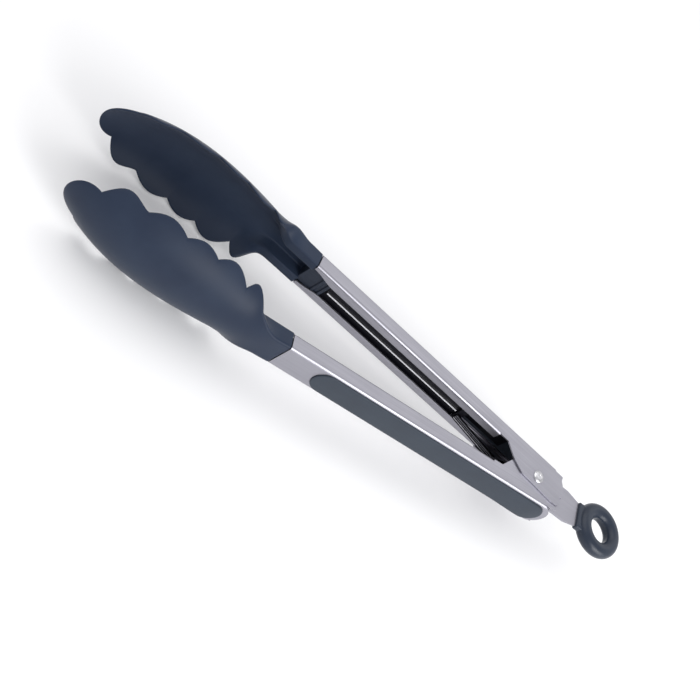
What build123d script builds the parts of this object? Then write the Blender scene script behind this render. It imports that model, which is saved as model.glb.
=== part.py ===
"""Spring loaded kitchen tongs, lying on their side with the jaws open.

The frame is in millimetres. +Z is the rivet's axis, +X runs from the jaw tips to the hang ring,
arm a is on the -Y side and arm b on the +Y side. The origin is under the middle of the tongs.

Each arm has a frame of its own: x is the distance from the rivet towards the tip (station),
y the height outwards, through the spine, and z the width, along the rivet.
"""
import os
from math import acos, asin, atan2, cos, degrees, hypot, pi, radians, sin, sqrt, tan

from build123d import *

os.makedirs("parts", exist_ok=True)

# ------------------------------------------------------------------ driving dimensions
OPEN_ANGLE = 5.73          # each arm from the centre line, jaws open

SHEET = 0.8                # stainless sheet of the arms
BEND = 1.6                 # outer bend radius of the sheet
HALF_WIDTHS = {"a": 9.5, "b": 10.45}   # arm a's ears lie inside arm b's
SPINE = 13.9               # outer face of the spine above the rivet's axis
LIP = 4.9                  # outer face of the return lips
SLOT_HALF = 5.0            # half the slot between the lips
JOINT = 165.0              # station where the channel ends and the head begins
TAIL = -16.0               # station where the spine ends, behind the rivet
LIPS_END = 31.0
LIP_FLARE = 15.0           # length over which the slot widens at the head
EAR_TAIL = -18.8
EAR_LOW = -7.2
NOTCH_HEIGHT = -1.7        # stop notch in the rear edge of arm b's ears
NOTCH_DEPTH, NOTCH_LENGTH = 1.3, 2.6
TAIL_CORNER = 9.2          # round corners of the spine's rear end

HEAD_GAP = 0.7             # dark line between channel and head
HEAD_WALL = 2.0
SKIN = 0.5                 # silicone on each side of the core
SKIN_RIM = 1.6             # silicone beyond the core's rim
NECK_END = 174.0
SPOON_START = 197.0
FLARE = 8.0                # how much the neck widens on each side
FLARE_START, FLARE_END = 173.5, 194.0
CROWN_AT = 203.0           # station of the highest point of the head's back
CROWN = 15.0
CROWN_FALL = 3.2           # power of the fall towards the tip
TIP_CENTRE = 278.2
TIP_RADIUS = 12.4
TIP_HEIGHT = -4.6          # outer face at the tip, past the arm's own axis
NOTCHES = ((201.3, 18.7), (220.7, 22.2), (238.4, 22.5), (258.6, 20.6), (279.0, 12.4))
LOBE_START = 183.5
LOBE_BULGES = (5.4, 2.7, 1.9, 2.4, 4.4)
LOBE_LEANS = (1.0, 1.0, 1.0, 1.0, 1.35)    # above 1, the lobe is fuller towards the tip
LOBE_STEPS = 5
WIDEST = 24.45             # half the width of the widest lobe

TANG_END = 151.2
TANG_HALF = 7.8            # also half the width of the backing strip
TANG_LOW, TANG_HIGH = 6.3, 13.0
RIDGE_STATIONS = (152.4, 156.2)

PAD_FRONT, PAD_REAR = 144.0, -12.5
PAD_HALF = 7.9
PAD_PROUD = 1.1            # pad above the spine
PAD_SWELL = 1.7            # pad above the spine at its rear bump
SWELL_END = 20.0           # station where the bump has died away
FIT = 0.1

BACKING_END = 54.0         # station of the end nearest the rivet
BACKING_LOW = 7.0
BACKING_WALL = 1.5
RAIL_HALF = 0.45           # half the width of the steel rail let into the backing
RAIL_LOW, RAIL_HIGH = 5.6, 7.6
RAIL_INSET = 1.2           # from the backing's ends
FOOT_END, FOOT_LOW = 20.0, 11.9     # thin foot that reaches towards the rivet
SHELF, SHELF_LOW, SHELF_HALF = 4.0, 5.6, 4.8   # what the spring's leg presses on

RIVET_RADIUS = 2.0
RUNNING = 0.05             # radial clearance on the rivet
RIVET_HEAD_RADIUS = 3.6
RIVET_HEAD = 1.4
BUSH_RADIUS = 4.0

STRIP = 0.8                # spring strip thickness
LEG_REACH = 53.0
LEG_HEIGHT = 4.9           # middle of the strip at the leg's end, in the arm's frame
LEG_B_WIDTH = (-4.8, -0.4) # along the rivet, from the tongs' middle plane
LEG_A_WIDTH = (0.0, 4.0)

PLATE_AT = 5.0             # the lock plate's middle plane, off the tongs' own
PLATE = 1.2
LOCK_TRAVEL = 10.0
SHOULDER_HALF = 11.9
PLATE_HALF = 9.6
PLATE_NECK_HALF = 7.0
RING_X = 53.3              # ring centre from the rivet
RING_RADIUS = 11.1
RING_TUBE = 4.4
HANG_RADIUS = 7.0          # the flat land in the ring's hole

PIVOT_X = (TIP_CENTRE + TIP_RADIUS) * cos(radians(OPEN_ANGLE)) / 2 - (RING_X + RING_RADIUS + RING_TUBE) / 2
PIVOT = Vector(PIVOT_X, 0, WIDEST)


# ------------------------------------------------------------------ frames and formulas
def arm_frame(side):
    """An arm's own frame: x to the tip, y outwards through the spine, z along the rivet."""
    angle = radians(OPEN_ANGLE)
    return Plane(origin=PIVOT, x_dir=(-cos(angle), side * sin(angle), 0), z_dir=(0, 0, -side))


def across(frame, station):
    """A plane across the arm: sketch x is the width, sketch y the height; it faces the rivet."""
    origin = frame.from_local_coords((station, 0, 0))
    return Plane(origin=origin, x_dir=frame.z_dir, z_dir=-frame.x_dir)


def above(frame, height):
    """A plane over the arm: sketch x is the station, sketch y the width; it faces inwards."""
    origin = frame.from_local_coords((0, height, 0))
    return Plane(origin=origin, x_dir=frame.x_dir, z_dir=-frame.y_dir)


def level(height):
    """A plane square to the rivet, with its origin on the rivet's axis."""
    return Plane(origin=PIVOT + Vector(0, 0, height))


def smooth_step(value, low, high):
    t = min(max((value - low) / (high - low), 0), 1)
    return t * t * (3 - 2 * t)


def mix(first, second, t):
    return first + (second - first) * t


def rim_half_width(station, half):
    """Half the head's width: a flared neck, lobes between the notches, and a round tip."""
    if station > NOTCHES[-1][0]:
        return sqrt(TIP_RADIUS ** 2 - (station - TIP_CENTRE) ** 2)
    corners = ((LOBE_START, half),) + NOTCHES
    neck = half + FLARE * smooth_step(station, FLARE_START, FLARE_END)
    for (s0, w0), (s1, w1), bulge, lean in zip(corners, corners[1:], LOBE_BULGES, LOBE_LEANS):
        if s0 <= station <= s1:
            t = (station - s0) / (s1 - s0)
            rise = t ** lean
            lobe = mix(w0, w1, t) + 4 * bulge * rise * (1 - rise)
            return max(lobe, neck) if s0 == LOBE_START else lobe
    return neck


def back_height(station):
    """Height of the head's outer face on its middle line."""
    if station < CROWN_AT:
        return CROWN - (CROWN - SPINE) * ((CROWN_AT - station) / (CROWN_AT - JOINT)) ** 2
    reach = (station - CROWN_AT) / (TIP_CENTRE + TIP_RADIUS - CROWN_AT)
    return CROWN - (CROWN - TIP_HEIGHT) * reach ** CROWN_FALL


def spoon_radius(station):
    """Radius of the spoon's round section: largest at the widest lobes."""
    return 28.0 - 6.2 * ((max(station, 198.0) - 238.0) / 40.0) ** 2


def head_section(station, half, inset, trim):
    """Flat half width, corner radius, sweep, wall length and height of one face of the head.

    The section is a flat back, a corner and a straight wall at the neck, and turns into one
    round arc in the spoon. inset is the depth below the outer face, trim shortens the wall.
    """
    blend = smooth_step(station, NECK_END, SPOON_START)
    width = rim_half_width(station, half)
    spoon = spoon_radius(station)
    sweep = mix(pi / 2, asin(min(width / spoon, 0.99)), blend)
    radius = mix(BEND, spoon, blend ** 1.3)
    wall = mix(SPINE - LIP - BEND, 0.3, blend)
    flat = max(width - radius * sin(sweep) - wall * cos(sweep), 0.1)
    cut = max(trim - (wall - 0.2), 0)
    wall = max(wall - trim, 0.2)
    sweep -= cut / radius
    inner = max(radius - inset, 0.5)
    shift = (radius - inset - inner) * tan(sweep / 2)
    return flat + shift, inner, sweep, wall + shift, back_height(station) - inset


def face_points(section):
    """The four points of one face's half, from the middle to the rim, with the arc's middle."""
    flat, radius, sweep, wall, height = section
    start = (flat, height)
    middle = (flat + radius * sin(sweep / 2), height - radius * (1 - cos(sweep / 2)))
    end = (flat + radius * sin(sweep), height - radius * (1 - cos(sweep)))
    rim = (end[0] + wall * cos(sweep), end[1] - wall * sin(sweep))
    return start, middle, end, rim


def head_stations(limit):
    """Stations along the head: the neck, each lobe in equal steps, and the round tip."""
    stations = [JOINT + HEAD_GAP, NECK_END, mix(NECK_END, LOBE_START, 0.5)]
    corners = [LOBE_START] + [s for s, w in NOTCHES]
    for s0, s1 in zip(corners, corners[1:]):
        stations += [mix(s0, s1, i / LOBE_STEPS) for i in range(LOBE_STEPS)]
    stations += [TIP_CENTRE + TIP_RADIUS * sin(radians(angle)) for angle in (4, 18, 32, 46, 60, 72, 80)]
    return [s for s in stations if s <= limit]


def head_shell(frame, half, outer, inner, trim, limit):
    """The head's curved shell between two depths below its outer face."""
    with BuildPart() as shell:
        for station in head_stations(limit):
            start, middle, end, rim = face_points(head_section(station, half, outer, trim))
            in_start, in_middle, in_end, in_rim = face_points(head_section(station, half, inner, trim))
            with BuildSketch(across(frame, station)):
                with BuildLine():
                    Line((0, start[1]), start)
                    ThreePointArc(start, middle, end)
                    Polyline(end, rim, in_rim, in_end)
                    ThreePointArc(in_end, in_middle, in_start)
                    Line(in_start, (0, in_start[1]))
                    mirror(about=Plane.YZ)
                make_face()
        loft(ruled=True)
    return shell.part


def save(part, name):
    part.label = name
    export_step(part, f"parts/{name}.step")


# ------------------------------------------------------------------ the two arms
for side, letter in ((-1, "a"), (1, "b")):
    frame = arm_frame(side)
    half = HALF_WIDTHS[letter]
    pad_middle = (PAD_FRONT + PAD_REAR) / 2
    pad_length = PAD_FRONT - PAD_REAR

    # stainless channel: spine, two walls, two return lips, and an ear on each wall
    ear_outline = (
        (LIPS_END, LIP),
        (25.0, LIP),
        (18.4, -1.6),
        (11.0, -5.6),
        (-13.0, EAR_LOW),
        (EAR_TAIL, EAR_LOW + 1),
        (EAR_TAIL, 5.0),
        (TAIL + 1.5, SPINE - BEND),
        (LIPS_END, SPINE - BEND),
    )
    hollow = (2 * (half - SHEET), SPINE - LIP - 2 * SHEET)
    with BuildPart() as channel:
        with BuildSketch(across(frame, JOINT)):
            with Locations((0, (SPINE + LIP) / 2)):
                RectangleRounded(2 * half, SPINE - LIP, BEND)
                RectangleRounded(*hollow, BEND - SHEET, mode=Mode.SUBTRACT)
            with Locations((0, LIP)):
                Rectangle(2 * SLOT_HALF, 3 * SHEET, mode=Mode.SUBTRACT)
        extrude(amount=JOINT - TAIL)
        with BuildSketch(above(frame, LIP + 2 * SHEET)):
            with Locations(((LIPS_END + TAIL) / 2, 0)):
                Rectangle(LIPS_END - TAIL, 2 * (half - SHEET))
            with BuildLine():
                Line((JOINT - LIP_FLARE, 0), (JOINT - LIP_FLARE, SLOT_HALF))
                Spline(
                    (JOINT - LIP_FLARE, SLOT_HALF),
                    (JOINT, SLOT_HALF + 2.4),
                    tangents=((1, 0), (1, 0)),
                )
                Line((JOINT, SLOT_HALF + 2.4), (JOINT, 0))
                mirror(about=Plane.XZ)
            make_face()
        extrude(amount=3 * SHEET, mode=Mode.SUBTRACT)
        for wall in (half - SHEET, -half):
            with BuildSketch(frame.offset(wall)):
                with BuildLine():
                    FilletPolyline(*ear_outline, radius=(0.5, 1.5, 8, 8, 2.5, 3, 2, 1, 0.5), close=True)
                make_face()
                Circle(RIVET_RADIUS + RUNNING, mode=Mode.SUBTRACT)
                if letter == "b":
                    with Locations((EAR_TAIL, NOTCH_HEIGHT)):
                        Rectangle(2 * NOTCH_DEPTH, NOTCH_LENGTH, mode=Mode.SUBTRACT)
            extrude(amount=SHEET)
        with BuildSketch(above(frame, SPINE + 1)):
            with Locations((pad_middle, 0)):
                SlotOverall(pad_length + 2 * FIT, 2 * (PAD_HALF + FIT))
        extrude(amount=1 + 1.5 * SHEET, mode=Mode.SUBTRACT)
        with BuildSketch(above(frame, SPINE + 1)):
            with Locations((TAIL, 0)):
                Rectangle(2 * TAIL_CORNER, 2 * half + 2)
            with Locations((TAIL + 2 * TAIL_CORNER, 0)):
                RectangleRounded(4 * TAIL_CORNER, 2 * half, TAIL_CORNER, mode=Mode.SUBTRACT)
        extrude(amount=1 + BEND, mode=Mode.SUBTRACT)
    save(channel.part, f"arm_channel_{letter}")

    # soft grip pad, pressed into the spine's opening, with a low bump at its rear
    with BuildPart() as pad:
        with BuildSketch(frame):
            with BuildLine():
                Polyline(
                    (SWELL_END, SPINE + PAD_PROUD),
                    (PAD_FRONT, SPINE + PAD_PROUD),
                    (PAD_FRONT, SPINE - SHEET),
                    (PAD_REAR, SPINE - SHEET),
                    (PAD_REAR, SPINE + PAD_PROUD),
                )
                Spline(
                    (PAD_REAR, SPINE + PAD_PROUD),
                    (PAD_REAR + 9, SPINE + PAD_SWELL),
                    (SWELL_END, SPINE + PAD_PROUD),
                    tangents=((1, 1), (1, 0)),
                )
            make_face()
        extrude(amount=PAD_HALF, both=True)
        with BuildSketch(above(frame, SPINE + 2 * PAD_SWELL)):
            with Locations((pad_middle, 0)):
                SlotOverall(pad_length, 2 * PAD_HALF)
        extrude(amount=4 * PAD_SWELL, mode=Mode.INTERSECT)
    save(pad.part, f"grip_pad_{letter}")

    # steel rail along the middle of the backing strip
    rail_start = BACKING_END + RAIL_INSET
    rail_end = TANG_END - RAIL_INSET
    with BuildPart() as rail:
        with BuildSketch(frame):
            with Locations(((rail_start + rail_end) / 2, (RAIL_LOW + RAIL_HIGH) / 2)):
                Rectangle(rail_end - rail_start, RAIL_HIGH - RAIL_LOW)
        extrude(amount=RAIL_HALF, both=True)
    save(rail.part, f"backing_rail_{letter}")

    # hard plastic backing strip inside the channel, behind the pad
    with BuildPart() as backing:
        back = SPINE - SHEET
        with BuildSketch(frame):
            with Locations(((TANG_END - 0.5 + BACKING_END) / 2, (back + BACKING_LOW) / 2)):
                Rectangle(TANG_END - 0.5 - BACKING_END, back - BACKING_LOW)
        extrude(amount=TANG_HALF, both=True)
        with BuildSketch(above(frame, back)):
            with Locations(((TANG_END + BACKING_END) / 2, 0)):
                Rectangle(TANG_END - BACKING_END - 2 * BACKING_WALL, 2 * (TANG_HALF - BACKING_WALL))
        extrude(amount=back - BACKING_LOW - BACKING_WALL, mode=Mode.SUBTRACT)
        with BuildSketch(frame):
            with Locations(((BACKING_END + FOOT_END) / 2, (back + FOOT_LOW) / 2)):
                Rectangle(BACKING_END - FOOT_END, back - FOOT_LOW)
            with Locations((BACKING_END - SHELF / 2, (back + SHELF_LOW) / 2)):
                Rectangle(SHELF, back - SHELF_LOW)
        extrude(amount=SHELF_HALF, both=True)
        add(rail.part, mode=Mode.SUBTRACT)
    save(backing.part, f"grip_backing_{letter}")

    # head: a stiff nylon core with a tang in the channel, inside a silicone skin
    tip_limit = TIP_CENTRE + TIP_RADIUS
    core_shell = head_shell(frame, half, SKIN, HEAD_WALL - SKIN, SKIN_RIM, tip_limit - 1.5)
    with BuildPart() as core:
        add(core_shell)
        with BuildSketch(frame):
            with Locations(((JOINT + HEAD_GAP + TANG_END) / 2, (TANG_LOW + TANG_HIGH) / 2)):
                Rectangle(JOINT + HEAD_GAP - TANG_END, TANG_HIGH - TANG_LOW)
        extrude(amount=TANG_HALF, both=True)
        with BuildSketch(frame):
            with Locations(*[(s, TANG_LOW) for s in RIDGE_STATIONS]):
                Rectangle(1.3, 1.4)
        extrude(amount=SLOT_HALF - 0.4, both=True)
    save(core.part, f"head_core_{letter}")

    with BuildPart() as skin:
        add(head_shell(frame, half, 0, HEAD_WALL, 0, tip_limit))
        add(core_shell, mode=Mode.SUBTRACT)
    save(skin.part, f"head_skin_{letter}")


# ------------------------------------------------------------------ the pivot
outer_ear = HALF_WIDTHS["b"]
inner_ear = HALF_WIDTHS["a"] - SHEET

with BuildPart() as rivet:
    with BuildSketch(level(-outer_ear)):
        Circle(RIVET_RADIUS)
    extrude(amount=2 * outer_ear)
    for base, sign in ((outer_ear, 1), (-outer_ear, -1)):
        with BuildSketch(level(base)):
            Circle(RIVET_HEAD_RADIUS)
        extrude(amount=sign * RIVET_HEAD, taper=25)
    with BuildSketch(level(outer_ear + RIVET_HEAD)):
        Circle(0.9)
    extrude(amount=-0.6, mode=Mode.SUBTRACT)
save(rivet.part, "rivet")

with BuildPart() as bush:
    with BuildSketch(level(-inner_ear + FIT)):
        Circle(BUSH_RADIUS)
        Circle(RIVET_RADIUS + RUNNING, mode=Mode.SUBTRACT)
    extrude(amount=inner_ear - FIT + PLATE_AT - PLATE / 2 - FIT)
save(bush.part, "pivot_bush")

with BuildPart() as spacer:
    with BuildSketch(level(PLATE_AT + PLATE / 2 + FIT)):
        Circle(BUSH_RADIUS)
        Circle(RIVET_RADIUS + RUNNING, mode=Mode.SUBTRACT)
    extrude(amount=inner_ear - 2 * FIT - PLATE_AT - PLATE / 2)
save(spacer.part, "pivot_spacer")

# spring: a strip wrapped round the bush, whose legs cross and push the arms apart
coil = BUSH_RADIUS + FIT + STRIP / 2
leg_end = arm_frame(1).from_local_coords((LEG_REACH, LEG_HEIGHT, 0)) - PIVOT
leg_distance = hypot(leg_end.X, leg_end.Y)
tangent_angle = degrees(atan2(leg_end.Y, leg_end.X) + acos(coil / leg_distance))
tangent = Vector(coil, 0).rotate(Axis.Z, tangent_angle)


def mirrored(point, sign):
    """The point itself for leg b, its mirror image in the middle plane for leg a."""
    return (point.X, sign * point.Y)


with BuildPart() as spring:
    for (low, high), sign in ((LEG_B_WIDTH, 1), (LEG_A_WIDTH, -1)):
        with BuildSketch(level(low)):
            with BuildLine():
                Line(mirrored(tangent, sign), mirrored(leg_end, sign))
            trace(line_width=STRIP)
        extrude(amount=high - low)
    with BuildSketch(level(LEG_B_WIDTH[0])):
        with BuildLine():
            ThreePointArc(mirrored(tangent, 1), (coil, 0), mirrored(tangent, -1))
        trace(line_width=STRIP)
    extrude(amount=LEG_A_WIDTH[1] - LEG_B_WIDTH[0])
save(spring.part, "spring")


# ------------------------------------------------------------------ the lock
with BuildPart() as plate:
    with BuildSketch(level(PLATE_AT - PLATE / 2)):
        with BuildLine():
            FilletPolyline(
                (-15, SHOULDER_HALF),
                (-4, SHOULDER_HALF),
                (-1, PLATE_HALF),
                (27, PLATE_HALF),
                (37, PLATE_NECK_HALF),
                (RING_X - 8, PLATE_NECK_HALF),
                (RING_X - 8, -PLATE_NECK_HALF),
                (37, -PLATE_NECK_HALF),
                (27, -PLATE_HALF),
                (-1, -PLATE_HALF),
                (-4, -SHOULDER_HALF),
                (-15, -SHOULDER_HALF),
                radius=1,
                close=True,
            )
        make_face()
        with Locations((RING_X, 0)):
            Circle(RING_RADIUS + 2.2)
            Circle(RING_RADIUS - 2.2, mode=Mode.SUBTRACT)
        with Locations((-LOCK_TRAVEL / 2, 0)):
            SlotCenterToCenter(LOCK_TRAVEL, 2 * (RIVET_RADIUS + FIT), mode=Mode.SUBTRACT)
    extrude(amount=PLATE)
save(plate.part, "lock_plate")

with BuildPart() as ring:
    with BuildSketch(Plane(origin=PIVOT + Vector(RING_X, 0, PLATE_AT), x_dir=(1, 0, 0), z_dir=(0, -1, 0))):
        with Locations((RING_RADIUS, 0)):
            Circle(RING_TUBE)
    revolve(axis=Axis(PIVOT + Vector(RING_X, 0, PLATE_AT), (0, 0, 1)))
    with BuildSketch(level(PLATE_AT - 2.1)):
        with Locations((40, 0)):
            RectangleRounded(8, 2 * PLATE_NECK_HALF + 1.8, 1.5)
    extrude(amount=4.2)
    with BuildSketch(level(PLATE_AT - RING_TUBE)):
        with Locations((RING_X, 0)):
            Circle(HANG_RADIUS)
    extrude(amount=2 * RING_TUBE, mode=Mode.SUBTRACT)
    add(plate.part, mode=Mode.SUBTRACT)
save(ring.part, "hang_ring")
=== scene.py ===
"""The looks of the spring loaded kitchen tongs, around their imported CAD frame.

Shapes are worked out in millimetres. An arm's piece uses the arm's own frame: station towards the
tip from the rivet, height outwards through the spine, and width along the rivet.
"""

from math import acos, atan2, cos, hypot, pi, radians, sin, sqrt

import bmesh
import bpy
from mathutils import Matrix, Vector


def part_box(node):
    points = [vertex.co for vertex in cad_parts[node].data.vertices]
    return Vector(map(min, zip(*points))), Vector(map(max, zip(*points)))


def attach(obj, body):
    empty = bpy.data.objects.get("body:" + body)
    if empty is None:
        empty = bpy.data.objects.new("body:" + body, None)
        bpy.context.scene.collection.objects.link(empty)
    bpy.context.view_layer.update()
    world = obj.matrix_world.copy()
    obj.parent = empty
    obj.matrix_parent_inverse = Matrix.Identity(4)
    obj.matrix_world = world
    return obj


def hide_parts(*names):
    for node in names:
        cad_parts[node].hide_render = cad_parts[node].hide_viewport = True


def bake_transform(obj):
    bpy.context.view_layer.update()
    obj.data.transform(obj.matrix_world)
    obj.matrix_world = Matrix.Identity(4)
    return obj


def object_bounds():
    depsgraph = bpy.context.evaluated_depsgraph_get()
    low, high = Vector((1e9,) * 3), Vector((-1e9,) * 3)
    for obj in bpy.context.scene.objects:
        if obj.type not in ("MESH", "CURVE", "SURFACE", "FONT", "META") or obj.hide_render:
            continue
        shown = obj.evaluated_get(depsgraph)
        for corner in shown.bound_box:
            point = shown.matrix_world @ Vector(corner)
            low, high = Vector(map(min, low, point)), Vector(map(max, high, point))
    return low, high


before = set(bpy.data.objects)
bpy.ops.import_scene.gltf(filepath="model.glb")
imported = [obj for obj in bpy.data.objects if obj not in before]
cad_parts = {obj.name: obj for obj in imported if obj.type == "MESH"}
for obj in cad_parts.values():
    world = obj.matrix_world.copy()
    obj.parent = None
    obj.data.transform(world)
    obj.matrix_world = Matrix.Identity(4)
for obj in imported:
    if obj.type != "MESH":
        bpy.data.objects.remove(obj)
cad_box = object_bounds()

# ------------------------------------------------------------------ sizes in millimetres
# The pressed channels. Arm b's is wider, because its ears lie outside arm a's.
OPEN_ANGLE = radians(5.73)             # between each arm and the tongs' middle line, jaws open
HALF_WIDTHS = {"a": 9.5, "b": 10.45}
SHEET = 0.8
BEND = 1.6                             # outer radius of the sheet's folds
SPINE = 13.9                           # height of the spine's outer face
LIP = 4.9                              # height of the return lips
JOINT = 165.0                          # where the channel ends and the head begins

# The head's neck and spoon.
HEAD_GAP = 0.7                         # dark line between the channel and the silicone
HEAD_WALL = 2.0                        # on the spoon's middle line
RIM_WALL = 1.2
RIM_ROUND = 1.5                        # how far the rim's rounding reaches over the back
INNER_ROUND = 0.8                      # how far the roundings inside reach
FLOOR_ROUND = 1.2                      # the same at the foot of the trough's walls
TROUGH_HALF = 5.2                      # half the neck's trough at its mouth
TROUGH_FLOOR_HALF = 4.9                # and at its floor
FLARE_START, FLARE_END, FLARE = 173.5, 194.0, 8.0
ARCH_START, ARCH_END = 171.0, 196.0    # where the flat back turns into the spoon's arc
LEAST_ARCH = 0.001                     # keeps the flat back's radius finite
LIPS_FADE, BOWL_START = 182.0, 200.0   # where the neck's lips fade into the bowl
CROWN_AT, CROWN = 203.0, 15.0          # the highest point of the back
CROWN_FALL = 3.2                       # power of the fall from there to the tip
SPOON_LEVEL_END = 198.0                # the spoon's radius stays the same before this
SPOON_WIDEST, SPOON_RADIUS = 238.0, 28.0
SPOON_REACH, SPOON_FALL = 40.0, 6.2    # the radius loses SPOON_FALL over SPOON_REACH
TIP_CENTRE = 278.2
TIP_RADIUS = 12.33                     # a little under the CAD's, whose loft stops short of its tip
TIP_HEIGHT = -4.6

# The scalloped edge: each notch's station and half width, and the lobe before each notch.
NOTCHES = ((201.3, 18.7), (220.7, 22.2), (238.4, 22.5), (258.6, 20.6), (279.0, 12.4))
LOBE_START = 183.5
LOBE_BULGES = (5.4, 2.7, 1.9, 2.4, 4.4)
LOBE_LEANS = (1.0, 1.0, 1.0, 1.0, 1.35)    # above 1, the lobe is fuller towards the tip

# The tang that holds a head in its channel.
TANG_END, TANG_HALF = 151.2, 7.8
TANG_LOW, TANG_HIGH = 6.3, 13.0
TANG_CHAMFER = 0.6
TANG_OVERLAP = 0.3                     # how far it reaches into the head
RIDGE_STATIONS, RIDGE = (152.4, 156.2), 0.7
RIDGE_FOOT, RIDGE_TOP = 1.1, 0.5       # half lengths of a ridge at its foot and its top

# The soft grip pads.
PAD_FRONT, PAD_REAR = 144.0, -12.5
PAD_HALF = 7.9
PAD_PROUD = 1.1                        # pad above the spine
PAD_SWELL = 1.7                        # the same at its rear bump
SWELL_START, SWELL_AT, SWELL_END = -18.5, -3.5, 20.0
PAD_EDGE = 0.55                        # radius of the upper edge
PAD_CROWN = 0.35                       # middle line above the edge
PAD_FLAT = 0.86                        # share of the half width inside the edge's rounding

# The spring: a ribbed strip round the bush, with a leg along each arm.
BUSH_RADIUS = 4.0
STRIP = 0.8
COIL_GAP = 0.1
COIL = BUSH_RADIUS + COIL_GAP + STRIP / 2
LEG_REACH, LEG_HEIGHT = 53.0, 4.9      # where a leg ends in its arm's frame
LEG_WIDTHS = {"b": (-4.8, -0.4), "a": (0.0, 4.0)}
RIBS, RIB_DEPTH = 5, 0.32

# The rivet, with a dimple in one head.
RIVET_RADIUS = 2.0
RIVET_HEAD_RADIUS, RIVET_HEAD = 3.6, 1.4
DIMPLE_RADIUS, DIMPLE = 0.95, 0.6
DIMPLE_RIM = 0.3                       # level ring round the dimple

# The hang ring, and the collar that joins it to the lock plate.
RING_X, PLATE_AT = 53.3, 5.0
RING_RADIUS, RING_TUBE, HANG_RADIUS = 11.1, 4.4, 7.0
COLLAR_START, COLLAR_END = 36.0, 43.0
COLLAR_HALF_WIDTH, COLLAR_HALF_HEIGHT, COLLAR_ROUND = 7.9, 2.1, 0.9
COLLAR_POWER = 8                       # 2 makes the section an ellipse, and more squares it

# How finely the shapes are cut.
BACK_STEPS, EDGE_STEPS, INNER_STEPS = 22, 8, 9    # along the sides of a head's section
CORNER_STEPS = 6
LONGEST_CUT = 0.48                     # share of a side that a corner's rounding may take
LOBE_RINGS, TIP_RINGS = 18, 20
TANG_RINGS = 120
PAD_END_STEPS, PAD_SIDE_STEPS = 28, 70
PAD_FLAT_RINGS, PAD_EDGE_RINGS = 8, 6
LATHE_STEPS, DOME_STEPS, DIMPLE_STEPS = 48, 10, 6
RIB_STEPS, LEG_STEPS, COIL_STEPS = 12, 24, 48
RING_STEPS, TUBE_STEPS = 120, 40
COLLAR_RINGS, COLLAR_STEPS = 24, 64

MM = 0.001
rivet_low, rivet_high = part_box("rivet")
PIVOT = (rivet_low + rivet_high) / 2
SIDES = {"a": -1, "b": 1}


# ------------------------------------------------------------------ placing and meshing
def arm_place(letter):
    """Matrix from an arm's own frame in millimetres to the row frame in metres."""
    side = SIDES[letter]
    along = Vector((-cos(OPEN_ANGLE), side * sin(OPEN_ANGLE), 0))
    outwards = Vector((sin(OPEN_ANGLE), side * cos(OPEN_ANGLE), 0))
    turn = Matrix((along, outwards, (0, 0, -side))).transposed().to_4x4()
    return Matrix.Translation(PIVOT) @ turn @ Matrix.Scale(MM, 4)


PIVOT_PLACE = Matrix.Translation(PIVOT) @ Matrix.Scale(MM, 4)


def smooth_step(value, low, high):
    t = min(max((value - low) / (high - low), 0), 1)
    return t * t * (3 - 2 * t)


def mix(first, second, t):
    return first + (second - first) * t


def grid_faces(rows, columns, wrap=False):
    """Quads of a grid of points stored row by row; wrap joins each row's end to its start."""
    last = columns if wrap else columns - 1
    return [
        (
            r * columns + c,
            r * columns + (c + 1) % columns,
            (r + 1) * columns + (c + 1) % columns,
            (r + 1) * columns + c,
        )
        for r in range(rows - 1)
        for c in range(last)
    ]


def piece(name, points, faces, place, sharp=40):
    """A mesh object from points in millimetres, merged where they meet, and smooth except at
    edges sharper than the given degrees."""
    mesh = bpy.data.meshes.new(name)
    mesh.from_pydata([place @ Vector(p) for p in points], [], faces)
    bm = bmesh.new()
    bm.from_mesh(mesh)
    bmesh.ops.remove_doubles(bm, verts=bm.verts, dist=0.002 * MM)
    bmesh.ops.dissolve_degenerate(bm, edges=bm.edges, dist=0.001 * MM)
    bmesh.ops.recalc_face_normals(bm, faces=bm.faces)
    bm.to_mesh(mesh)
    bm.free()
    mesh.shade_smooth()
    mesh.set_sharp_from_angle(angle=radians(sharp))
    obj = bpy.data.objects.new(name, mesh)
    bpy.context.scene.collection.objects.link(obj)
    return obj


def ring_piece(name, rings, place, capped=False, sharp=40):
    """A piece whose rings of points are joined one to the next; capped closes both ends."""
    columns = len(rings[0])
    points = [point for ring in rings for point in ring]
    faces = grid_faces(len(rings), columns, wrap=True)
    if capped:
        faces.append(tuple(range(columns)))
        faces.append(tuple(range(len(points) - columns, len(points))))
    return piece(name, points, faces, place, sharp)


def paint(obj, material):
    obj.data.materials.clear()
    obj.data.materials.append(material)


def finish_piece(obj, body, node, material):
    """Gives a piece its material and body, and hides the CAD node that it stands for."""
    paint(obj, material)
    if body:
        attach(obj, body)
    if node:
        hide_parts(node)


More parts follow.
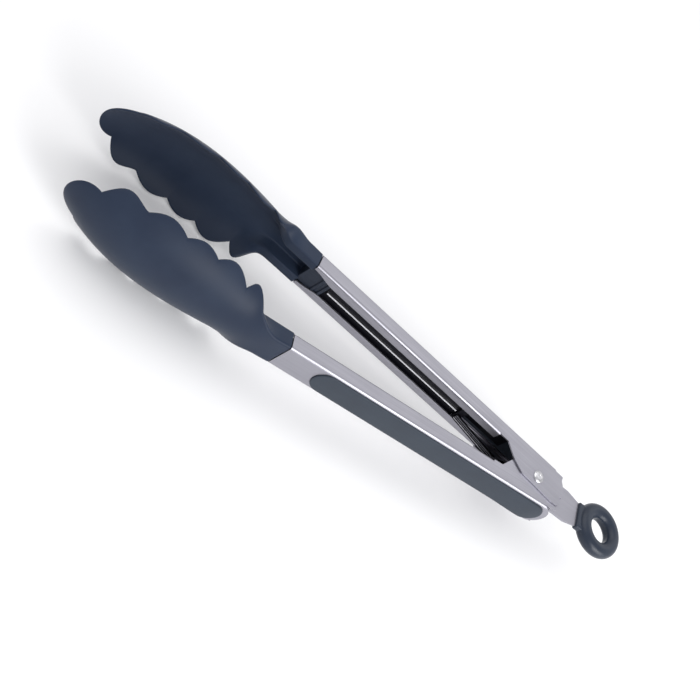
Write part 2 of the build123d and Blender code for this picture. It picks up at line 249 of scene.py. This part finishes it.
# ------------------------------------------------------------------ materials
class Finish:
    """A procedural material: a Principled shader with helpers for its pattern nodes."""

    def __init__(self, name, **uniform):
        self.material = bpy.data.materials.new(name)
        self.material.use_nodes = True
        self.tree = self.material.node_tree
        self.shader = self.tree.nodes["Principled BSDF"]
        self.place = self.tree.nodes.new("ShaderNodeTexCoord").outputs["Object"]
        for socket, value in uniform.items():
            self.shader.inputs[socket.replace("_", " ")].default_value = value

    def node(self, kind, **values):
        made = self.tree.nodes.new(kind)
        for name, value in values.items():
            made.inputs[name.replace("_", " ")].default_value = value
        return made

    def link(self, source, target):
        self.tree.links.new(source, target)

    def noise(self, size, turn=0.0, detail=4.0, roughness=0.55):
        """Noise with blobs of the given size in mm; turn is about the rivet's axis."""
        mapping = self.tree.nodes.new("ShaderNodeMapping")
        mapping.vector_type = "TEXTURE"
        mapping.inputs["Rotation"].default_value = (0, 0, turn)
        mapping.inputs["Scale"].default_value = [s * MM for s in size]
        self.link(self.place, mapping.inputs["Vector"])
        noise = self.node("ShaderNodeTexNoise", Scale=1.0, Detail=detail, Roughness=roughness)
        self.link(mapping.outputs["Vector"], noise.inputs["Vector"])
        return noise.outputs["Fac"]

    def between(self, source, low, high, start=0.3, end=0.7):
        """A number that goes from low to high as the source goes from start to end."""
        node = self.node(
            "ShaderNodeMapRange", From_Min=start, From_Max=end, To_Min=low, To_Max=high)
        self.link(source, node.inputs["Value"])
        return node.outputs["Result"]

    def tint(self, source, first, second, start=0.3, end=0.7):
        """Colour that goes from first to second as the source goes from start to end."""
        ramp = self.tree.nodes.new("ShaderNodeValToRGB")
        ramp.color_ramp.elements[0].position = start
        ramp.color_ramp.elements[0].color = (*first, 1)
        ramp.color_ramp.elements[1].position = end
        ramp.color_ramp.elements[1].color = (*second, 1)
        self.link(source, ramp.inputs["Fac"])
        self.link(ramp.outputs["Color"], self.shader.inputs["Base Color"])

    def rough(self, source, low, high):
        self.link(self.between(source, low, high), self.shader.inputs["Roughness"])

    def bump(self, source, height, strength):
        """Bump of the given height in mm."""
        bump = self.node("ShaderNodeBump", Strength=strength, Distance=height * MM)
        self.link(source, bump.inputs["Height"])
        self.link(bump.outputs["Normal"], self.shader.inputs["Normal"])


def brushed_steel(name, turn):
    """Satin stainless sheet, brushed along the arm."""
    finish = Finish(name, Metallic=1.0)
    streaks = finish.noise((60, 0.25, 0.25), turn, detail=6.0, roughness=0.7)
    clouds = finish.noise((35, 14, 14), turn, detail=2.0)
    finish.tint(streaks, (0.30, 0.296, 0.334), (0.43, 0.425, 0.47), 0.25, 0.75)
    finish.rough(clouds, 0.34, 0.46)
    finish.bump(streaks, height=0.012, strength=0.5)
    return finish.material


def grained_steel(name, base, size, roughness):
    """Steel whose grain has blobs of the given size in mm."""
    finish = Finish(name, Metallic=1.0)
    grain = finish.noise(size, detail=5.0)
    finish.tint(grain, [0.75 * c for c in base], [1.2 * c for c in base])
    finish.rough(grain, roughness - 0.06, roughness + 0.08)
    finish.bump(grain, height=0.02, strength=0.4)
    return finish.material


def ribbed_steel(name, groove, crest_highlight, period):
    """Dark rolled strip with painted highlights, fine bright stripes for light caught on its
    crests; the period along the rivet is in mm.
    """
    finish = Finish(name, Metallic=1.0)
    grain = finish.noise((8.0, 0.6, 0.6), detail=5.0)
    # A wave node repeats every pi / (10 * its scale).
    wave = finish.node("ShaderNodeTexWave", Scale=pi / (10 * period * MM), Distortion=0.0)
    wave.bands_direction = "Z"
    finish.link(finish.place, wave.inputs["Vector"])
    # Painted highlight: the narrow bright bands stand in for light caught on the rib crests.
    finish.tint(wave.outputs["Fac"], groove, crest_highlight, 0.80, 0.98)
    finish.rough(grain, 0.26, 0.38)
    finish.bump(wave.outputs["Fac"], height=0.02, strength=0.3)
    return finish.material


def silicone(name, dark, light, roughness, grain, specular):
    """Moulded silicone: soft mottling, a matt grain of the given size in mm and a faint bloom."""
    finish = Finish(name, Sheen_Weight=0.05, Sheen_Roughness=0.5, Specular_IOR_Level=specular)
    clouds = finish.noise((22, 22, 22), detail=3.0)
    finish.tint(clouds, dark, light)
    fine = finish.noise((grain, grain, grain), detail=3.0)
    finish.rough(clouds, roughness - 0.05, roughness + 0.06)
    finish.bump(fine, height=0.03, strength=0.35)
    return finish.material


def plastic(name, dark, light, roughness, specular):
    """Moulded plastic with faint flow lines along the arm."""
    finish = Finish(name, Specular_IOR_Level=specular)
    flow = finish.noise((30, 1.2, 1.2), detail=4.0)
    finish.tint(flow, dark, light)
    finish.rough(flow, roughness - 0.07, roughness + 0.08)
    finish.bump(flow, height=0.02, strength=0.4)
    return finish.material


steel = {
    "a": brushed_steel("steel_a", OPEN_ANGLE),
    "b": brushed_steel("steel_b", -OPEN_ANGLE),
    "plate": brushed_steel("steel_plate", 0.0),
}
rivet_steel = grained_steel(
    "rivet_steel", base=(0.62, 0.62, 0.64), size=(2.0, 2.0, 2.0), roughness=0.28)
# Near-black steel, used for the bush and the spacer.
near_black_steel = grained_steel(
    "near_black_steel", base=(0.045, 0.045, 0.05), size=(1.5, 1.5, 1.5), roughness=0.45)
rail_steel = grained_steel(
    "rail_steel", base=(0.80, 0.80, 0.83), size=(12.0, 0.5, 0.5), roughness=0.3)
# The spring's bright crest colour is a painted highlight.
spring_steel = ribbed_steel(
    "spring_steel", groove=(0.02, 0.02, 0.024), crest_highlight=(0.40, 0.40, 0.43), period=1.25)
head_silicone = silicone(
    "head_silicone", dark=(0.015, 0.0235, 0.046), light=(0.020, 0.031, 0.057),
    roughness=0.42, grain=0.35, specular=0.17)
pad_silicone = silicone(
    "pad_silicone", dark=(0.029, 0.037, 0.051), light=(0.037, 0.047, 0.063),
    roughness=0.5, grain=0.25, specular=0.17)
ring_silicone = silicone(
    "ring_silicone", dark=(0.012, 0.019, 0.034), light=(0.018, 0.026, 0.044),
    roughness=0.32, grain=0.35, specular=0.32)
head_nylon = plastic(
    "head_nylon", dark=(0.018, 0.024, 0.038), light=(0.026, 0.033, 0.051),
    roughness=0.4, specular=0.2)
black_plastic = plastic(
    "black_plastic", dark=(0.003, 0.003, 0.005), light=(0.008, 0.008, 0.012),
    roughness=0.5, specular=0.08)


# ------------------------------------------------------------------ the silicone heads
def rim_half_width(station, half):
    """Half the head's width: lobes between the notches."""
    corners = ((LOBE_START, half),) + NOTCHES
    for (s0, w0), (s1, w1), bulge, lean in zip(corners, corners[1:], LOBE_BULGES, LOBE_LEANS):
        if s0 <= station <= s1:
            t = (station - s0) / (s1 - s0)
            rise = t ** lean
            return mix(w0, w1, t) + 4 * bulge * rise * (1 - rise)
    return half


def back_height(station):
    """Height of the head's outer face on its middle line."""
    if station < CROWN_AT:
        return CROWN - (CROWN - SPINE) * ((CROWN_AT - station) / (CROWN_AT - JOINT)) ** 2
    reach = (station - CROWN_AT) / (TIP_CENTRE + TIP_RADIUS - CROWN_AT)
    return CROWN - (CROWN - TIP_HEIGHT) * reach ** CROWN_FALL


def spoon_radius(station):
    """Radius of the spoon's round section: largest at the widest lobes."""
    reach = (max(station, SPOON_LEVEL_END) - SPOON_WIDEST) / SPOON_REACH
    return SPOON_RADIUS - SPOON_FALL * reach ** 2


def back_edge(station, half):
    """Half width and arc radius of the head's back at a station."""
    width = rim_half_width(station, half)
    if station < NOTCHES[0][0]:
        width = max(width, half + FLARE * smooth_step(station, FLARE_START, FLARE_END))
    spoon = spoon_radius(station)
    arch = (spoon - sqrt(spoon ** 2 - width ** 2)) * smooth_step(station, ARCH_START, ARCH_END)
    return width, (width ** 2 + arch ** 2) / (2 * max(arch, LEAST_ARCH))


def wall_point(station, width, radius, share, inner):
    """Point on the back's arc, or on the bowl's face below it; the wall thins with the share."""
    lean = width / radius
    upright = sqrt(1 - lean ** 2)
    depth = mix(HEAD_WALL, RIM_WALL, share ** 2) if inner else 0
    height = back_height(station) - radius * (1 - upright) - depth * upright
    return Vector((station, height, width - depth * lean))


def rounded_loop(sides, cuts):
    """Points along the sides with rounded corners between them.

    A side is a function of its share, and its number of steps. cuts holds, for each corner, how
    far its rounding reaches into the side before it and the side after it.
    """
    reach = [(0, cuts[0][0])]
    reach += [(before[1], after[0]) for before, after in zip(cuts, cuts[1:])]
    reach += [(cuts[-1][1], 0)]
    points = []
    for (side, steps), (head, tail) in zip(sides, reach):
        length = max((side(1) - side(0)).length, 1e-6)
        low = min(head / length, LONGEST_CUT)
        high = 1 - min(tail / length, LONGEST_CUT)
        first = side(low)
        if points:
            last, corner = points[-1], side(0)
            for i in range(1, CORNER_STEPS):
                t = i / CORNER_STEPS
                points.append(last * (1 - t) ** 2 + corner * (2 * t * (1 - t)) + first * t ** 2)
        points += [side(mix(low, high, i / steps)) for i in range(steps + 1)]
    return points


def section_profile(station, half):
    """Half a ring at a station: back, corner or rim, side wall, lip, trough wall and floor."""
    width, radius = back_edge(station, half)
    bowl = smooth_step(station, LIPS_FADE, BOWL_START)
    trough_floor = back_height(station) - HEAD_WALL
    corners = (
        Vector((station, LIP, half)),
        Vector((station, LIP, TROUGH_HALF)),
        Vector((station, trough_floor, TROUGH_FLOOR_HALF)),
        Vector((station, trough_floor, 0)),
    )

    def back(t):
        return wall_point(station, width * t, radius, t, False)

    def inside(side, t):
        """Along the lip (0), the trough's wall (1) or its floor (2), which the bowl replaces."""
        share = 1 - (side + t) / 3
        curved = wall_point(station, width * share, radius, share, True)
        return corners[side].lerp(corners[side + 1], t).lerp(curved, bowl)

    sides = [
        (back, BACK_STEPS),
        (lambda t: back(1).lerp(inside(0, 0), t), EDGE_STEPS),
        (lambda t: inside(0, t), INNER_STEPS),
        (lambda t: inside(1, t), INNER_STEPS),
        (lambda t: inside(2, t), INNER_STEPS),
    ]
    cuts = [
        (mix(BEND, RIM_ROUND, bowl), mix(BEND, RIM_WALL / 2, bowl)),
        (mix(INNER_ROUND, RIM_WALL / 2, bowl), INNER_ROUND),
        (INNER_ROUND, INNER_ROUND),
        (FLOOR_ROUND, FLOOR_ROUND),
    ]
    return rounded_loop(sides, cuts)


def tip_profile(angle):
    """Half a ring along a ray across the round tip, from the last notch's middle."""
    start = NOTCHES[-1][0]

    def ray(share, inner):
        station = mix(start, TIP_CENTRE + TIP_RADIUS * cos(angle), share)
        width = share * TIP_RADIUS * sin(angle)
        return wall_point(station, width, spoon_radius(station), share, inner)

    sides = [
        (lambda t: ray(t, False), BACK_STEPS),
        (lambda t: ray(1, False).lerp(ray(1, True), t), EDGE_STEPS),
        (lambda t: ray(1 - t / 3, True), INNER_STEPS),
        (lambda t: ray((2 - t) / 3, True), INNER_STEPS),
        (lambda t: ray((1 - t) / 3, True), INNER_STEPS),
    ]
    cuts = [
        (RIM_ROUND, RIM_WALL / 2),
        (RIM_WALL / 2, INNER_ROUND),
        (INNER_ROUND, INNER_ROUND),
        (FLOOR_ROUND, FLOOR_ROUND),
    ]
    return rounded_loop(sides, cuts)


def head_rings(half):
    """Half rings from the neck to the tip's point, closest together at the notches."""
    shares = [i / LOBE_RINGS for i in range(LOBE_RINGS)]
    stations = [mix(JOINT + HEAD_GAP, LOBE_START, share) for share in shares]
    corners = [LOBE_START] + [station for station, width in NOTCHES]
    for start, end in zip(corners, corners[1:]):
        stations += [mix(start, end, (1 - cos(pi * share)) / 2) for share in shares]
    rings = [section_profile(station, half) for station in stations]
    first = acos((NOTCHES[-1][0] - TIP_CENTRE) / TIP_RADIUS)
    return rings + [tip_profile(first * (1 - i / TIP_RINGS)) for i in range(TIP_RINGS + 1)]


def head_piece(letter):
    """A head: its half rings joined, closed across at the neck, and mirrored."""
    rings = head_rings(HALF_WIDTHS[letter])
    columns = len(rings[0])
    points = [point for ring in rings for point in ring]
    faces = grid_faces(len(rings), columns)
    faces += [(c, c + 1, columns - 2 - c, columns - 1 - c) for c in range(columns // 2 - 1)]
    count = len(points)
    points += [Vector((p.x, p.y, -p.z)) for p in points]
    faces += [tuple(count + i for i in reversed(face)) for face in faces]
    return piece(f"head_{letter}", points, faces, arm_place(letter))


for letter in SIDES:
    head = head_piece(letter)
    finish_piece(head, f"arm_{letter}", f"head_skin_{letter}", head_silicone)


# ------------------------------------------------------------------ the heads' tangs
def tang_ring(station):
    """Section of the tang, whose visible face has two ridges across it."""
    ridges = sum(smooth_step(abs(station - at), RIDGE_FOOT, RIDGE_TOP) for at in RIDGE_STATIONS)
    low = TANG_LOW - RIDGE * ridges
    side = (
        (TANG_HALF, TANG_HIGH),
        (TANG_HALF, low + TANG_CHAMFER),
        (TANG_HALF - TANG_CHAMFER, low),
    )
    return [(station, h, w) for w, h in side] + [(station, h, -w) for w, h in reversed(side)]


for letter in SIDES:
    inner_end = JOINT + HEAD_GAP + TANG_OVERLAP
    rings = [tang_ring(mix(TANG_END, inner_end, i / TANG_RINGS)) for i in range(TANG_RINGS + 1)]
    tang = ring_piece(f"tang_{letter}", rings, arm_place(letter), capped=True, sharp=30)
    finish_piece(tang, f"arm_{letter}", f"head_core_{letter}", head_nylon)


# ------------------------------------------------------------------ the grip pads
def pad_edge_height(station):
    """Height of the pad's upper edge: level, with a low bump over its rear end."""
    rise = smooth_step(station, SWELL_START, SWELL_AT)
    fall = 1 - smooth_step(station, SWELL_AT, SWELL_END)
    return SPINE + PAD_PROUD + (PAD_SWELL - PAD_PROUD) * min(rise, fall) - PAD_CROWN


def pad_outline():
    """Points round the pad, as (station on the middle line, station, width)."""
    front, rear = PAD_FRONT - PAD_HALF, PAD_REAR + PAD_HALF
    for centre, turn in ((front, -pi / 2), (rear, pi / 2)):
        for i in range(PAD_END_STEPS):
            angle = turn + pi * i / PAD_END_STEPS
            yield centre, centre + PAD_HALF * cos(angle), PAD_HALF * sin(angle)
        far = front + rear - centre
        for i in range(PAD_SIDE_STEPS):
            station = mix(centre, far, i / PAD_SIDE_STEPS)
            yield station, station, PAD_HALF * sin(turn + pi)


def pad_ring(outline, share):
    """The pad's top at a share of the way from its middle line to its outline."""
    inside = max(PAD_EDGE - (1 - share) * PAD_HALF, 0)
    drop = PAD_EDGE - sqrt(max(PAD_EDGE ** 2 - inside ** 2, 0))
    crown = PAD_CROWN * (1 - share ** 2)
    ring = []
    for base, station, width in outline:
        s = mix(base, station, share)
        ring.append((s, pad_edge_height(s) + crown - drop, width * share))
    return ring


for letter in SIDES:
    outline = list(pad_outline())
    shares = [PAD_FLAT * i / PAD_FLAT_RINGS for i in range(PAD_FLAT_RINGS)]
    for i in range(PAD_EDGE_RINGS + 1):
        shares.append(1 - PAD_EDGE / PAD_HALF * (1 - sin(pi / 2 * i / PAD_EDGE_RINGS)))
    rings = [pad_ring(outline, share) for share in shares]
    for share in (1.0, 0.0):
        rings.append([(mix(b, s, share), SPINE - SHEET, w * share) for b, s, w in outline])
    pad = ring_piece(f"pad_{letter}", rings, arm_place(letter))
    finish_piece(pad, f"arm_{letter}", f"grip_pad_{letter}", pad_silicone)


# ------------------------------------------------------------------ the rivet
def quarter_arc(steps):
    """Cosine and sine of angles from nothing to a quarter turn."""
    for i in range(steps + 1):
        angle = pi / 2 * i / steps
        yield cos(angle), sin(angle)


def rivet_profile(half_length):
    """(radius, height) points from the dimple in the upper head down to the lower head's top."""
    shoulder = half_length - RIVET_HEAD
    rim = DIMPLE_RADIUS + DIMPLE_RIM
    dimple = [(DIMPLE_RADIUS * s, half_length - DIMPLE * c) for c, s in quarter_arc(DIMPLE_STEPS)]
    dome = [(s, shoulder + RIVET_HEAD * c) for c, s in quarter_arc(DOME_STEPS)]
    upper = [(mix(rim, RIVET_HEAD_RADIUS, s), height) for s, height in dome]
    lower = [(RIVET_HEAD_RADIUS * s, -height) for s, height in dome]
    shank = [(RIVET_RADIUS, shoulder), (RIVET_RADIUS, -shoulder)]
    return dimple[:-1] + upper + shank + lower[::-1]


def lathe_ring(radius, height):
    turns = [2 * pi * i / LATHE_STEPS for i in range(LATHE_STEPS)]
    return [(radius * cos(turn), radius * sin(turn), height) for turn in turns]


half_length = (rivet_high.z - rivet_low.z) / 2 / MM
rings = [lathe_ring(radius, height) for radius, height in rivet_profile(half_length)]
rivet = ring_piece("rivet_body", rings, PIVOT_PLACE)
finish_piece(rivet, "root", "rivet", rivet_steel)


# ------------------------------------------------------------------ the spring
def strip_section(low, high, ribs):
    """Cross section of the strip as (thickness, width) points, with fine ribs on one face."""
    points = [(-STRIP / 2, low), (-STRIP / 2, high)]
    count = RIB_STEPS * ribs
    for i in range(count + 1):
        groove = RIB_DEPTH / 2 * (1 - cos(2 * pi * ribs * i / count))
        points.append((STRIP / 2 - groove, mix(high, low, i / count)))
    return points


def sweep_strip(name, path, section):
    """The strip's section carried along a path in the tongs' plane."""
    rings = []
    for i, here in enumerate(path):
        before, after = path[max(i - 1, 0)], path[min(i + 1, len(path) - 1)]
        direction = (after - before).normalized()
        normal = Vector((-direction.y, direction.x))
        rings.append([(here.x + normal.x * t, here.y + normal.y * t, w) for t, w in section])
    return ring_piece(name, rings, PIVOT_PLACE, capped=True, sharp=50)


leg_end = PIVOT_PLACE.inverted() @ arm_place("b") @ Vector((LEG_REACH, LEG_HEIGHT, 0))
tangent_angle = atan2(leg_end.y, leg_end.x) + acos(COIL / hypot(leg_end.x, leg_end.y))
tangent = Vector((COIL * cos(tangent_angle), COIL * sin(tangent_angle)))

# A leg has no body of its own.
for letter, side in SIDES.items():
    start = Vector((tangent.x, side * tangent.y))
    end = Vector((leg_end.x, side * leg_end.y))
    path = [start.lerp(end, i / LEG_STEPS) for i in range(LEG_STEPS + 1)]
    section = strip_section(*LEG_WIDTHS[letter], RIBS)
    leg = sweep_strip(f"spring_leg_{letter}", path, section)
    finish_piece(leg, None, None, spring_steel)
    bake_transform(leg)

turns = [mix(tangent_angle, -tangent_angle, i / COIL_STEPS) for i in range(COIL_STEPS + 1)]
coil_path = [Vector((COIL * cos(turn), COIL * sin(turn))) for turn in turns]
coil_section = strip_section(LEG_WIDTHS["b"][0], LEG_WIDTHS["a"][1], 2 * RIBS)
coil = sweep_strip("spring_coil", coil_path, coil_section)
finish_piece(coil, "root", "spring", spring_steel)


# ------------------------------------------------------------------ the hang ring
def tube_ring(angle):
    """The ring's round section at an angle, cut level where it faces the hole."""
    points = []
    for j in range(TUBE_STEPS):
        turn = 2 * pi * j / TUBE_STEPS
        radius = max(RING_RADIUS + RING_TUBE * cos(turn), HANG_RADIUS)
        points.append((radius * cos(angle), radius * sin(angle), RING_TUBE * sin(turn)))
    return points


def collar_ring(x):
    """The collar's section at a place along the plate, smaller at its rounded ends."""
    edge = min(x - COLLAR_START, COLLAR_END - x, COLLAR_ROUND)
    inset = COLLAR_ROUND - sqrt(max(COLLAR_ROUND ** 2 - (COLLAR_ROUND - edge) ** 2, 0))
    half_width, half_height = COLLAR_HALF_WIDTH - inset, COLLAR_HALF_HEIGHT - inset
    points = []
    for j in range(COLLAR_STEPS):
        turn = 2 * pi * j / COLLAR_STEPS
        y, z = cos(turn), sin(turn)
        square = (y ** COLLAR_POWER + z ** COLLAR_POWER) ** (-1 / COLLAR_POWER)
        points.append((x, half_width * y * square, PLATE_AT + half_height * z * square))
    return points


ring_centre = PIVOT + Vector((RING_X, 0, PLATE_AT)) * MM
rings = [tube_ring(2 * pi * i / RING_STEPS) for i in range(RING_STEPS + 1)]
ring = ring_piece("ring", rings, Matrix.Translation(ring_centre) @ Matrix.Scale(MM, 4))
finish_piece(ring, "lock", "hang_ring", ring_silicone)

shares = [(1 - cos(pi * i / COLLAR_RINGS)) / 2 for i in range(COLLAR_RINGS + 1)]
rings = [collar_ring(mix(COLLAR_START, COLLAR_END, share)) for share in shares]
collar = ring_piece("ring_collar", rings, PIVOT_PLACE, capped=True)
finish_piece(collar, "lock", None, ring_silicone)

# ------------------------------------------------------------------ CAD nodes that stay as they are
for letter in SIDES:
    paint(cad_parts[f"arm_channel_{letter}"], steel[letter])
    paint(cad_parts[f"grip_backing_{letter}"], black_plastic)
    paint(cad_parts[f"backing_rail_{letter}"], rail_steel)
paint(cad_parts["lock_plate"], steel["plate"])
paint(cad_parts["pivot_bush"], near_black_steel)
paint(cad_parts["pivot_spacer"], near_black_steel)

# ------------------------------------------------------------------ floor, light and camera
FLOOR_HALF = 4.0                       # metres, from the middle to each side
FLOOR_GAP = 0.0003                     # metres below the tongs

floor_mesh = bpy.data.meshes.new("floor")
bm = bmesh.new()
bmesh.ops.create_grid(bm, x_segments=8, y_segments=8, size=FLOOR_HALF)
bm.to_mesh(floor_mesh)
bm.free()
floor = bpy.data.objects.new("floor", floor_mesh)
bpy.context.scene.collection.objects.link(floor)
floor.location.z = cad_box[0][2] - FLOOR_GAP
floor_paint = Finish("floor_paint", Roughness=0.9)
floor_paint.tint(floor_paint.noise((400, 400, 400)), (0.86, 0.86, 0.865), (0.88, 0.88, 0.885))
floor_mesh.materials.append(floor_paint.material)

world = bpy.data.worlds.new("studio")
bpy.context.scene.world = world
world.use_nodes = True
world.node_tree.nodes["Background"].inputs["Color"].default_value = (1.0, 1.0, 1.02, 1)
world.node_tree.nodes["Background"].inputs["Strength"].default_value = 0.75


def softbox(name, position, size, power):
    """An area light aimed at the row frame's origin; metres and watts."""
    data = bpy.data.lights.new(name, "AREA")
    data.shape = "RECTANGLE"
    data.size, data.size_y = size
    data.energy = power
    light = bpy.data.objects.new(name, data)
    bpy.context.scene.collection.objects.link(light)
    light.location = position
    light.rotation_euler = (-Vector(position)).to_track_quat("-Z", "Y").to_euler()


softbox("key", position=(-0.7, 0.5, 1.2), size=(1.6, 1.2), power=8.0)
softbox("fill", position=(0.6, -0.7, 0.35), size=(0.8, 0.5), power=5.0)
softbox("fold", position=(0.45, -0.72, 0.65), size=(0.5, 0.5), power=3.0)
softbox("edge", position=(0.5, 0.75, 0.85), size=(0.9, 0.5), power=1.0)

CAMERA_FROM_PIVOT = Vector((-0.4267, -0.4460, 0.4889))
CAMERA_TOWARDS = Vector((0.4131, 0.6136, -0.6729))
CAMERA_ROLL = radians(61.82)
camera_data = bpy.data.cameras.new("camera")
camera_data.sensor_width = 36
camera_data.lens = 76.0
camera = bpy.data.objects.new("camera", camera_data)
bpy.context.scene.collection.objects.link(camera)
camera_place = Matrix.Translation(PIVOT + CAMERA_FROM_PIVOT)
aim = CAMERA_TOWARDS.to_track_quat("-Z", "Y").to_matrix().to_4x4()
camera.matrix_world = camera_place @ aim @ Matrix.Rotation(CAMERA_ROLL, 4, "Z")
bpy.context.scene.camera = camera
bpy.context.scene.view_settings.view_transform = "Standard"
